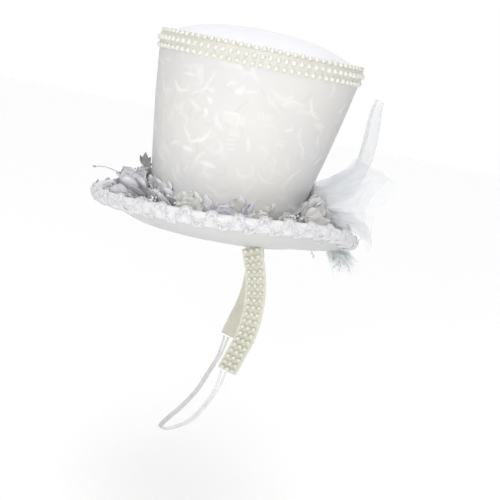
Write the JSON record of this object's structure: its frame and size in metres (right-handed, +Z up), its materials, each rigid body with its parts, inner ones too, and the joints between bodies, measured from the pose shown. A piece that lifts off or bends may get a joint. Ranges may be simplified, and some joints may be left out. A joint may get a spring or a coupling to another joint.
{
  "type": "bridal top hat",
  "caption": "White top hat with a flared oval crown, curled lace-edged brim, pearl trim, organza flower garland, tulle bow and a pearl-studded chin strap that swings.",
  "frame": {"origin": "middle of the head opening, on the flat underside of the brim", "axes": "+Z up the crown, +X to the wearer's left, -Y to the wearer's front"},
  "size_m": [0.2288, 0.3062, 0.4272],
  "materials": {
    "jacquard": "ivory-white satin jacquard with a raised silky leaf motif",
    "tip_satin": "smooth padded duchess satin",
    "brim_satin": "smooth light grey satin",
    "buckram": "stiff open-weave buckram",
    "lining": "light lining satin",
    "ribbon": "ivory grosgrain ribbon",
    "elastic": "flat white braided elastic",
    "lace": "white corded Venise lace",
    "wire": "silver wire",
    "pearl": "ivory pearl coat",
    "rhinestone": "clear cut stones",
    "tulle": "sheer pale tulle",
    "marabou": "fluffy pale down",
    "organza_grey": "crisp organza, grey",
    "organza_lavender": "crisp organza, lavender",
    "organza_cream": "crisp organza, cream",
    "organza_peach": "crisp organza, pale peach"
  },
  "bodies": {
    "hat": {"crown_side_cover": "jacquard", "crown_side_form": "buckram", "crown_side_lining": "lining", "crown_tip_cover": "tip_satin", "crown_tip_form": "buckram", "crown_tip_lining": "lining", "sweatband": "ribbon", "garland_band": "organza_cream", "pearl_tape": "ribbon", "pearl_row_bottom": "pearl", "pearl_row_middle": "pearl", "pearl_row_top": "pearl", "brim_under_cover": "brim_satin", "brim_form": "buckram", "brim_top_cover": "brim_satin", "brim_edge_binding": "tip_satin", "brim_wire": "wire", "brim_lace_edging": "lace", "blossom_front_left": "organza_grey", "pearl_front_left": "pearl", "blossom_left_1": "organza_lavender", "rhinestone_left_1": "rhinestone", "blossom_left_2": "organza_cream", "blossom_left_3": "organza_lavender", "blossom_left_4": "organza_peach", "blossom_left_5": "organza_cream", "rhinestone_left_5": "rhinestone", "blossom_back_left": "organza_grey", "rhinestone_back_left": "rhinestone", "blossom_back_right": "organza_grey", "blossom_right_5": "organza_cream", "rhinestone_right_5": "rhinestone", "blossom_right_4": "organza_peach", "blossom_right_3": "organza_lavender", "blossom_right_2": "organza_cream", "blossom_right_1": "organza_lavender", "rhinestone_right_1": "rhinestone", "blossom_front_right": "organza_grey", "pearl_front_right": "pearl", "leaf_sprig_front": "organza_grey", "leaf_sprig_back": "organza_grey", "stamen": "wire", "tulle_knot": "tulle", "tulle_tall_loop": "tulle", "tulle_fan_left": "tulle", "tulle_fan_right": "tulle", "tulle_tail_left": "tulle", "tulle_tail_right": "tulle", "marabou_puff": "marabou", "strap_tab_left": "ribbon", "strap_tab_right": "ribbon"},
    "chin_strap": {"strap_ribbon_left": "ribbon", "strap_pearls_left_1": "pearl", "strap_pearls_left_2": "pearl", "strap_pearls_left_3": "pearl", "strap_ribbon_right": "ribbon", "strap_pearls_right_1": "pearl", "strap_pearls_right_2": "pearl", "strap_pearls_right_3": "pearl", "chin_elastic": "elastic"}
  },
  "joints": [
    {"name": "chin_strap_swing", "type": "hinge", "parent": "hat", "child": "chin_strap", "pos_m": [0, 0.036, -0.011], "axis": [1, 0, 0], "range_deg": [-70, 60]}
  ]
}
